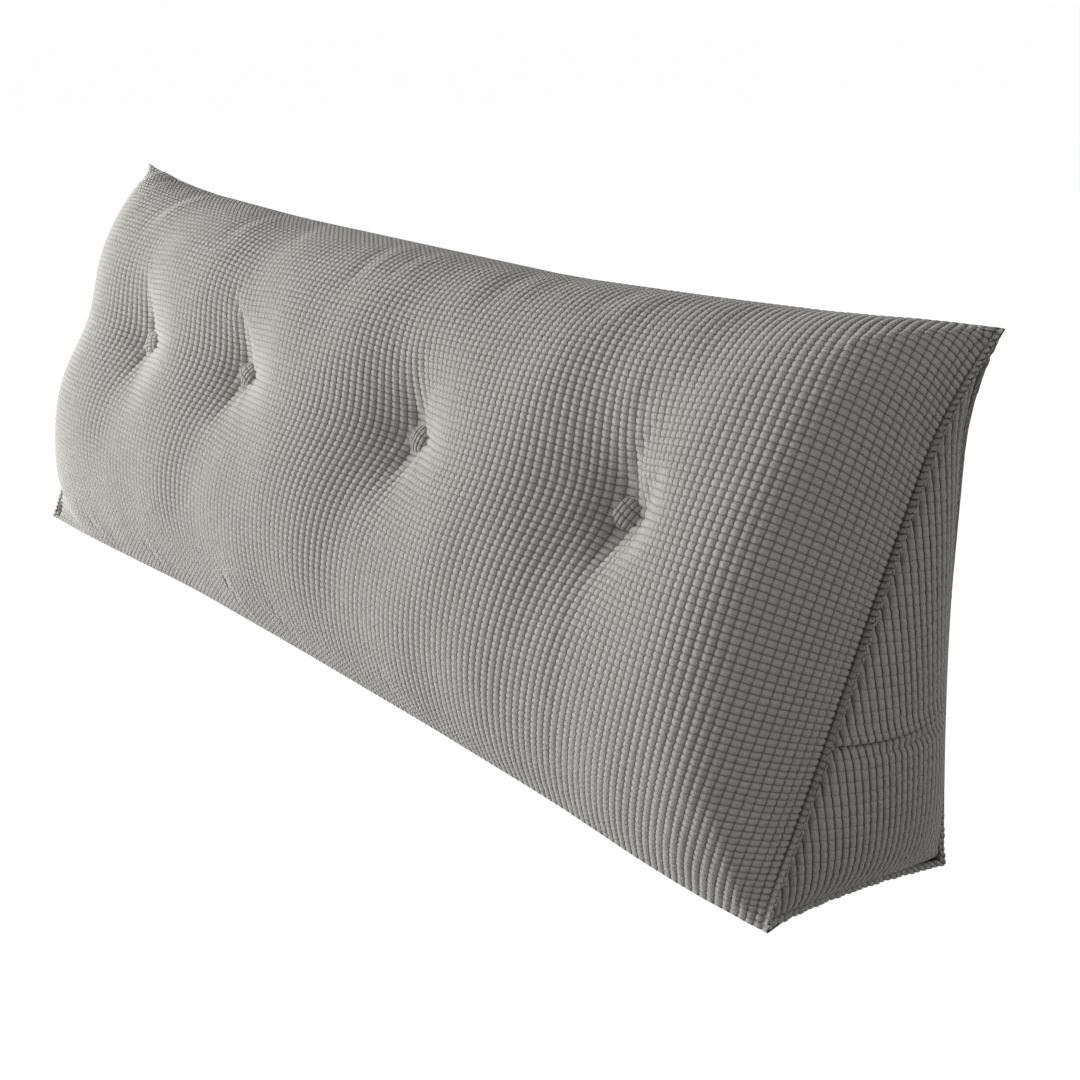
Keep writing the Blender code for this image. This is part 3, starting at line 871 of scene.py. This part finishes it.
def corduroy(name, relief, waist=0.95, shade=1.0, groove=GROOVE_PAINTED_SHADE):
    """Plush corduroy whose ribs follow the UV map; relief is how strongly the material raises them.
    Its colour holds painted shade in the grooves and a painted highlight on the rims of the kernels.
    """
    material = bpy.data.materials.new(name)
    material.use_nodes = True
    tree = material.node_tree
    shader = tree.nodes["Principled BSDF"]
    height, edge = kernel_shape(tree, waist)
    fuzz = noise(tree, FUZZ_SCALE, FUZZ_DETAIL, FUZZ_ROUGHNESS)

    def tone(share):
        return tuple(part * shade * share for part in CREST_COLOUR)

    # edge is how near a kernel's rim a place is; the lighter colour there is a painted highlight.
    cloth = mix_colours(tree, edge, tone(MIDDLE_SHARE), tone(RIM_PAINTED_HIGHLIGHT))
    patches, mottle = noise(tree, PATCH_SCALE), noise(tree, MOTTLE_SCALE)
    for grain, change in ((patches, PATCH_CHANGE), (mottle, MOTTLE_CHANGE), (fuzz, FUZZ_CHANGE)):
        lightness = node_maths(tree, "MULTIPLY_ADD", grain, 2 * change, 1 - change)
        scaled = tree.nodes.new("ShaderNodeVectorMath")
        scaled.operation = "SCALE"
        tree.links.new(cloth, scaled.inputs[0])
        tree.links.new(lightness, scaled.inputs["Scale"])
        cloth = scaled.outputs[0]
    # The darker colour where the height is low is painted shade in the grooves.
    tree.links.new(mix_colours(tree, height, tone(groove), cloth), shader.inputs["Base Color"])
    bump = tree.nodes.new("ShaderNodeBump")
    bump.inputs["Distance"].default_value = PILE_HEIGHT
    bump.inputs["Strength"].default_value = relief
    raised = node_maths(tree, "MULTIPLY_ADD", fuzz, FUZZ_RELIEF, height)
    tree.links.new(raised, bump.inputs["Height"])
    tree.links.new(bump.outputs["Normal"], shader.inputs["Normal"])
    for socket, value in CLOTH_FINISH.items():
        shader.inputs[socket].default_value = value
    return material


SEAM_TOLERANCE = 0.01  # in ribs
face_cloth = corduroy("cover_corduroy", relief=0.75)
back_cloth = corduroy("cover_corduroy_back", relief=1.3)


def paint_cover(obj):
    """The face has its ribs in the mesh, so its material raises them less than on the back and base."""
    for material in (face_cloth, back_cloth):
        obj.data.materials.append(material)
    first = np.empty(len(obj.data.polygons), np.int32)
    obj.data.polygons.foreach_get("loop_start", first)
    beyond = read_uv(obj)[first, 1] >= RIBS["face"] - SEAM_TOLERANCE
    obj.data.polygons.foreach_set("material_index", beyond.astype(np.int32))


paint_cover(cover)
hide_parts("filled_cushion")
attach(cover, "root")
print("cover dressed")

# %% [markdown]
# Each end is closed by a triangle of the same corduroy, cut with its ribs upright. The filling pushes it
# out low in its middle, and at its edges it dives under the turned flange. A single triangle could be
# subdivided, but its ribs would not stay upright. So a grid of cells is bisected along the triangle's
# three sides, and then every point is moved out to the puffed end.

# %% Sizes of the ends
RIM_SHARE = 0.955
PANEL_PUFF, PUFF_RISES = 0.044, (0.052, 0.030, 0.030)  # rises from the front, back and bottom seam
RIB_PITCH = 0.0063
END_KERNEL = 0.0096
STEPS_AN_END_RIB = 4
END_GROOVE_DEPTH, END_WAIST_DEPTH = 0.0019, 0.0006
GROOVE_SHARPNESS = 4
DIVE_DEPTH, DIVE_WIDTH = 0.0035, 0.0030
CUT_MERGE = 1e-6
HALF_CELL = 0.5  # a blank starts half a cell outside the end's lower front corner


def rib_profile(cells):
    """Depth below the crest across ribs counted in cells: 1 in the grooves, 0 on the crests."""
    return np.abs(2 * (cells - np.floor(cells)) - 1) ** GROOVE_SHARPNESS


def edge_distances(side, y, z):
    """Distance of points of an end from its three seams: front, back and bottom."""
    front, top, back = seam_lines(float(side))
    distances = []
    for start, stop in ((front, top), (top, back), (back, front)):
        edge = (stop - start) / np.linalg.norm(stop - start)
        distances.append(np.abs(edge[0] * (z - start[1]) - edge[1] * (y - start[0])))
    return distances


def end_surface(side, y, z):
    """How far out the end stands at y, z: at the seam's reach, and puffed away from the three seams."""
    rim = (1 - RIM_SHARE) * end_centre(side)[2]
    puff = PANEL_PUFF
    for distance, rise in zip(edge_distances(side, y, z), PUFF_RISES):
        puff = puff * (1 - np.exp(-np.clip(distance - rim, 0, None) / rise))
    return end_reach(y, z) - FLANGE_PROUD + puff


# %% A panel cut from a grid of cells
def panel_blank(name, side, height):
    """A flat grid in the plane of the end, as wide and high as it, with whole ribs and kernels."""
    (front, _), _, (back, _) = seam_lines(float(side))
    ribs = math.ceil((back - front) / RIB_PITCH) + 1
    kernels = math.ceil(height / END_KERNEL) + 1
    y = front - RIB_PITCH / 2 + np.arange(ribs * STEPS_AN_END_RIB + 1) * RIB_PITCH / STEPS_AN_END_RIB
    z = -END_KERNEL / 2 + np.arange(kernels * STEPS_A_KERNEL + 1) * END_KERNEL / STEPS_A_KERNEL
    places = np.zeros((len(y), len(z), 3))
    places[..., 1], places[..., 2] = y[:, None], z[None, :]
    return grid_object(name, places, 1 / STEPS_AN_END_RIB, 1 / STEPS_A_KERNEL)


def cut_along(obj, start, stop, keep):
    """Bisect a flat panel along a line through two (y, z) points, and drop the side away from keep."""
    direction = Vector((0, stop[0] - start[0], stop[1] - start[1]))
    normal = direction.cross(Vector((1, 0, 0))).normalized()
    if normal.dot(Vector((0, keep[0] - start[0], keep[1] - start[1]))) < 0:
        normal.negate()
    select_verts(obj, np.ones(len(obj.data.vertices)))
    place = (0, start[0], start[1])
    bpy.ops.mesh.bisect(plane_co=place, plane_no=normal, clear_inner=True, threshold=CUT_MERGE)
    bpy.ops.object.mode_set(mode="OBJECT")


def triangle_of(side, share):
    """The three corners of an end's outline, shrunk to a share of its size, as (y, z)."""
    centre = end_centre(side)[1:] - MODEL_SHIFT[1:]
    return [centre + (corner - centre) * share for corner in seam_lines(float(side))]


def swap_uv(obj):
    """Turn the UV map by a quarter, so that it counts kernels first and ribs second, as on the cover."""
    write_uv(obj, read_uv(obj)[:, ::-1])


def end_panel(name, side, low=None, high=None):
    """A flat panel cut to an end's triangle, and to what lies between two heights."""
    corners = triangle_of(side, RIM_SHARE)
    middle = sum(corners) / 3
    obj = panel_blank(name, side, corners[1][1])
    for start, stop in zip(corners, corners[1:] + corners[:1]):
        cut_along(obj, start, stop, middle)
    if low is not None:
        cut_along(obj, (0.0, low), (1.0, low), (0.0, 1.0))
    if high is not None:
        cut_along(obj, (0.0, high), (1.0, high), (0.0, 0.0))
    return obj


def dress_panel(obj, side, placket=None):
    """Move a flat panel out to the puffed end, raise its ribs and give it its thickness."""
    places = vert_places(obj)
    y, z = places[:, 1], places[:, 2]
    (front, _), _, _ = seam_lines(float(side))
    ribs = (y - front) / RIB_PITCH + HALF_CELL
    kernels = z / END_KERNEL + HALF_CELL
    depth = END_GROOVE_DEPTH * rib_profile(ribs) + END_WAIST_DEPTH * rib_profile(kernels)
    nearest = np.minimum.reduce(edge_distances(side, y, z)) - (1 - RIM_SHARE) * end_centre(side)[2]
    depth = depth + DIVE_DEPTH * np.exp(-np.clip(nearest, 0, None) / DIVE_WIDTH)
    if placket:
        z, sink = placket(y, z)
        depth = depth + sink
    out = end_surface(side, y, z) - depth
    moved = np.stack([side * out, y, z], -1) + MODEL_SHIFT
    move_verts(obj, moved)
    swap_uv(obj)
    select_verts(obj, np.ones(len(moved)))
    bpy.ops.mesh.normals_make_consistent(inside=False)
    bpy.ops.object.mode_set(mode="OBJECT")
    if sum(p.normal.x for p in obj.data.polygons) * side < 0:
        obj.data.flip_normals()
    thick = obj.modifiers.new("thickness", "SOLIDIFY")
    thick.thickness = PANEL_THICKNESS
    thick.offset = -1.0
    bpy.ops.object.modifier_apply(modifier="thickness")
    obj.data.shade_smooth()
    obj.data.materials.append(end_cloth)


# %% [markdown]
# The right end is sewn from two pieces. The upper one is folded under along its lower edge, and the lower
# one runs up behind that fold. A second, softer crease lies below it near the back. The fold climbs a
# little towards the back, as the cloth is drawn up there. One panel with a line pressed into it would show
# no edge, so two are cut, and each is moved by a function of its own.

# %% The folded seam of the right end
PLACKET_HEIGHT = 0.149
PLACKET_RISE, PLACKET_CURVE, PLACKET_SPREAD = 0.026, 3, 0.080
FOLD_SIZE, FOLD_HEIGHT = 0.0050, 0.0024
FOLD_FADE, FOLD_FADE_START = 0.15, 0.5
TUCK_DEPTH, TUCK_WIDTH = 0.0050, 0.0030
ROLL_DEPTH, ROLL_WIDTH = 0.0042, 0.0012
SOFT_CREASE_DROP, SOFT_CREASE_WIDTH, SOFT_CREASE_DEPTH = 0.015, 0.0040, 0.0050
SOFT_CREASE_START = 0.6


def how_far_back(y):
    """How far back a place of the right end lies: 0 at its front seam, 1 at its back seam."""
    (front, _), _, (back, _) = seam_lines(1.0)
    return np.clip((y - front) / (back - front), 0, 1)


def placket_height(y):
    """Height of the fold: level in front, rising towards the back."""
    return PLACKET_HEIGHT + PLACKET_RISE * how_far_back(y) ** PLACKET_CURVE


def upper_fold(y, z):
    """The upper piece climbs with its fold, bulges just above it and rolls in at the edge."""
    z = z + (placket_height(y) - PLACKET_HEIGHT) * np.exp(-(z - PLACKET_HEIGHT) / PLACKET_SPREAD)
    above = np.clip(z - placket_height(y), 0, None)
    (front, _), _, (back, _) = seam_lines(1.0)
    from_back = np.clip((back - y) / (back - front) / FOLD_FADE - FOLD_FADE_START, 0, 1)
    bulge = FOLD_HEIGHT * np.exp(-((above - FOLD_SIZE) / FOLD_SIZE) ** 2) * from_back
    return z, ROLL_DEPTH * np.exp(-above / ROLL_WIDTH) - bulge


def lower_tuck(y, z):
    """The lower piece dives behind the fold, and has a soft crease that fades towards the front."""
    backwards = how_far_back(y)
    z = z + (placket_height(y) - PLACKET_HEIGHT) * np.exp(-(PLACKET_HEIGHT - z) / PLACKET_SPREAD)
    below = np.clip(placket_height(y) - z, 0, None)
    crease = np.exp(-((below - SOFT_CREASE_DROP * backwards) / SOFT_CREASE_WIDTH) ** 2)
    crease = SOFT_CREASE_DEPTH * crease * np.clip(2 * backwards - SOFT_CREASE_START, 0, 1)
    return z, TUCK_DEPTH * np.exp(-below / TUCK_WIDTH) + crease


# The end panels have a darker groove colour still, 0.24: painted shade in their grooves.
end_cloth = corduroy("end_corduroy", relief=1.0, waist=0.5, shade=1.0, groove=0.24)
upper_panel = end_panel("right_end_upper_cloth", 1, low=PLACKET_HEIGHT)
dress_panel(upper_panel, 1, upper_fold)
lower_panel = end_panel("right_end_lower_cloth", 1, high=PLACKET_HEIGHT - GAP)
dress_panel(lower_panel, 1, lower_tuck)
left_panel = end_panel("left_end_cloth", -1)
dress_panel(left_panel, -1)


# %% Measuring the panels and hiding the imported ones
FACING_OUT = 0.2  # a face that points less than this along X is a cut edge


def declare_panel(obj, node):
    """A panel is a flat cut of cloth, stretched over the filled end: measure its cloth, hide the imported
    panel that it stands for, and hang it under the root.
    """
    shape = bmesh.new()
    shape.from_mesh(obj.data)
    area = sum(face.calc_area() for face in shape.faces if abs(face.normal.x) > FACING_OUT) / 2
    shape.free()
    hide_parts(node)
    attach(obj, "root")
    print("its cloth measures", round(area, 4), "square metres")


declare_panel(upper_panel, "right_end_upper_panel")
declare_panel(lower_panel, "right_end_lower_panel")
declare_panel(left_panel, "left_end_panel")

# %% [markdown]
# Where the face, back and base meet an end, the maker turned the edges and stitched them down, which
# leaves a soft flange standing up all round. The ribs of the cover run out into it, so its outer edge is
# a row of small round rib ends. The cover's mesh already runs out over it, so what is modelled here is
# the turned layer below. A bevelled curve would give it an even round section. A section of eleven points
# swept round the outline, six steps a rib, can be notched between the ribs and narrower at the back.

# %% The turned flanges
FLANGE_RING = [
    # how far out of the cover, how far in from its outline, share of the relief, share of the wave
    (-0.0022, 0.0012, 0.0, 0.0),
    (0.0020, 0.0013, 0.3, 0.0),
    (0.0050, 0.0012, 0.5, 0.2),
    (0.0070, 0.0013, 0.8, 0.4),
    (0.0076, 0.0022, 0.6, 0.6),
    (0.0062, 0.0030, 0.4, 0.6),
    (0.0048, 0.0036, 0.3, 0.8),
    (0.0057, 0.0044, 0.5, 1.0),
    (0.0040, 0.0054, 0.4, 0.8),
    (0.0010, 0.0052, 0.2, 0.2),
    (-0.0022, 0.0046, 0.0, 0.0),
]
BACK_FLANGE, BACK_FLANGE_SQUARENESS = 0.55, 8
FLANGE_GROOVE_DEPTH = 0.0013
MIDDLE_OF_RING, OUTER_RING = 0.002, 0.003  # how far in from the outline, how far out of the cover
LAYER_WAVE, WAVE_RIBS = 0.0010, 3.3
WAVE_DRIFT, DRIFT_RIBS = 0.7, 2.1
STEPS_A_FLANGE_RIB = 6
KERNELS_A_RING_STEP = 0.12  # the pattern runs on across the flange by this much at each point
RING_MERGE = 1e-6


def outline_walk(side):
    """Points round an end's outline in (y, z), the rib of each, and how wide the flange is there."""
    column = -1 if side > 0 else 0
    front, top, back = seam_lines(float(side))
    rows = np.arange(fine_cells.shape[1], dtype=float)
    shares = evenly(fine_cells[column, :, 1:], rows, RIBS["face"] * STEPS_A_FLANGE_RIB)[:, 0]
    walks = [(front, top, shares, RIBS["face"])]
    for start, stop, ribs in ((top, back, RIBS["back"]), (back, front, RIBS["base"])):
        walks.append((start, stop, np.linspace(0, 1, ribs * STEPS_A_FLANGE_RIB + 1), ribs))
    points, cells, first = [], [], 0
    for start, stop, share, ribs in walks:
        points.append(start + (stop - start) * share[:-1, None])
        cells.append(first + np.arange(len(share) - 1) / STEPS_A_FLANGE_RIB)
        first += ribs
    cells = np.concatenate(cells)
    behind = (cells - RIBS["face"]) / RIBS["back"]
    narrower = np.clip(1 - np.abs(2 * behind - 1) ** BACK_FLANGE_SQUARENESS, 0, 1)
    return np.concatenate(points), cells, 1 - (1 - BACK_FLANGE) * narrower


def make_flange(name, side):
    """Sweep the ring round an end, with its grooves, scallops and waves, and sew it into one loop."""
    points, cells, width = outline_walk(side)
    centre = end_centre(side) - MODEL_SHIFT
    ring = np.array(FLANGE_RING)
    groove = rib_profile(cells)[:, None]
    drift = WAVE_DRIFT * np.sin(cells / DRIFT_RIBS)
    wave = LAYER_WAVE * np.sin(2 * math.pi * cells / WAVE_RIBS + drift)[:, None] * ring[:, 3]
    half = np.sign(MIDDLE_OF_RING - ring[:, 1])
    inwards = ring[:, 1] + FLANGE_GROOVE_DEPTH * groove * half * ring[:, 2]
    flat = centre[1:] + (points[:, None] - centre[1:]) * (1 - inwards[..., None] / centre[2])
    base = end_reach(flat[..., 0], flat[..., 1]) - FLANGE_PROUD - PANEL_THICKNESS - GAP
    scallop = SCALLOP * (groove + SCALLOP_CHANGE * rib_chance(cells)[:, None]) * (ring[:, 0] > OUTER_RING)
    x = base + (ring[:, 0] - scallop + wave) * np.where(ring[:, 0] > 0, width[:, None], 1)
    places = np.concatenate([side * x[..., None], flat], axis=-1) + MODEL_SHIFT
    places[..., 2] = np.maximum(places[..., 2], FLOOR_CLEARANCE)
    places = np.concatenate([places, places[:1]], axis=0)
    places = np.concatenate([places, places[:, :1]], axis=1)
    obj = grid_object(name, places.transpose(1, 0, 2), KERNELS_A_RING_STEP, 1 / STEPS_A_FLANGE_RIB)
    select_verts(obj, np.ones(len(obj.data.vertices)))
    bpy.ops.mesh.remove_doubles(threshold=RING_MERGE)
    bpy.ops.mesh.normals_make_consistent(inside=False)
    bpy.ops.object.mode_set(mode="OBJECT")
    obj.data.shade_smooth()
    obj.data.materials.append(flange_cloth)
    return obj


flange_cloth = corduroy("flange_corduroy", relief=0.5, waist=0.5)
for word, side in (("left", -1), ("right", 1)):
    flange = make_flange(f"{word}_flange", side)
    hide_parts(f"{word}_seam_flange")
    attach(flange, "root")
    print(flange.name, "has", len(flange.data.polygons), "faces")

# %% [markdown]
# A tufting button is a dome covered in the same cloth, with its ribs slanting across it. A ball of rings
# would crowd its points at the pole, in the middle of the button. So a ball of even triangles is flattened
# into the dome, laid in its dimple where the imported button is, and its ribs are raised along its normals.

# %% The buttons
BUTTON_RADIUS = 0.0155
BUTTON_HEIGHT = 0.0092
BUTTON_LIFT = 0.0020
RIB_TURN = {1: 20.0, 2: 62.0, 3: 75.0, 4: 68.0}
BUTTON_PITCH = 0.0054
BUTTON_GROOVE_DEPTH, BUTTON_WAIST_DEPTH = 0.0012, 0.0007
BUTTON_DETAIL = 6
FIRST_KERNEL, FIRST_RIB = 0.3, 0.5
FOOT_SHARE, DOME_SHARE = 0.30, 0.75
RELIEF_START = 0.3


def button_frame(number):
    """The middle of a packed button's foot and its three directions: along, up the slope, outwards."""
    x, share, turn = BUTTONS[number - 1]
    along = x / (HALF_LENGTH - FLANGE_PROUD)
    seat = Vector(on_wedge(along, "face", share))
    front, top, _ = seam_lines(along)
    slope = (top - front) / np.linalg.norm(top - front)
    normal = Vector((0, -slope[1], slope[0]))
    normal.rotate(Matrix.Rotation(math.radians(turn), 3, normal.cross(Vector((1, 0, 0)))))
    up = Vector((0, slope[0], slope[1]))
    up = (up - normal * up.dot(normal)).normalized()
    return seat, up.cross(normal), up, normal


def make_button(number):
    """A flattened ball with slanting ribs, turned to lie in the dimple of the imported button."""
    seat, along, up, out = button_frame(number)
    bpy.ops.mesh.primitive_ico_sphere_add(subdivisions=BUTTON_DETAIL, radius=1.0)
    obj = bpy.context.object
    obj.name = obj.data.name = f"covered_button_{number}"
    ball = vert_places(obj)
    turn = math.radians(RIB_TURN[number])
    across = ball[:, 0] * math.cos(turn) + ball[:, 1] * math.sin(turn)
    down = -ball[:, 0] * math.sin(turn) + ball[:, 1] * math.cos(turn)
    kernels = across * BUTTON_RADIUS / END_KERNEL + FIRST_KERNEL
    ribs = down * BUTTON_RADIUS / BUTTON_PITCH + FIRST_RIB
    flat = np.where(ball[:, 2] > 0, ball[:, 2], FOOT_SHARE * ball[:, 2])
    depth = BUTTON_GROOVE_DEPTH * rib_profile(ribs) + BUTTON_WAIST_DEPTH * rib_profile(kernels)
    size = np.array([BUTTON_RADIUS, BUTTON_RADIUS, BUTTON_HEIGHT * DOME_SHARE])
    dome = np.stack([ball[:, 0], ball[:, 1], flat], -1) * size
    relief = depth * np.clip(ball[:, 2] + RELIEF_START, 0, 1)
    dome = dome - ball * relief[:, None] + (0, 0, BUTTON_HEIGHT * (1 - DOME_SHARE) + BUTTON_LIFT)
    turned = np.array([along, up, out])
    places = dome @ turned + np.array(seat)
    move_verts(obj, places)
    index = np.empty(len(obj.data.loops), np.int32)
    obj.data.loops.foreach_get("vertex_index", index)
    write_uv(obj, np.stack([kernels[index], ribs[index]], -1))
    obj.data.update()
    obj.data.shade_smooth()
    obj.data.materials.append(button_cloth)
    return obj


button_cloth = corduroy("button_corduroy", relief=0.5, shade=0.9)
for number in range(1, 5):
    button = make_button(number)
    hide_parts(f"button_{number}")
    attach(button, "root")
    low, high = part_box(f"button_{number}")
    print(button.name, "middle", tuple(round(v, 3) for v in (low + high) / 2))
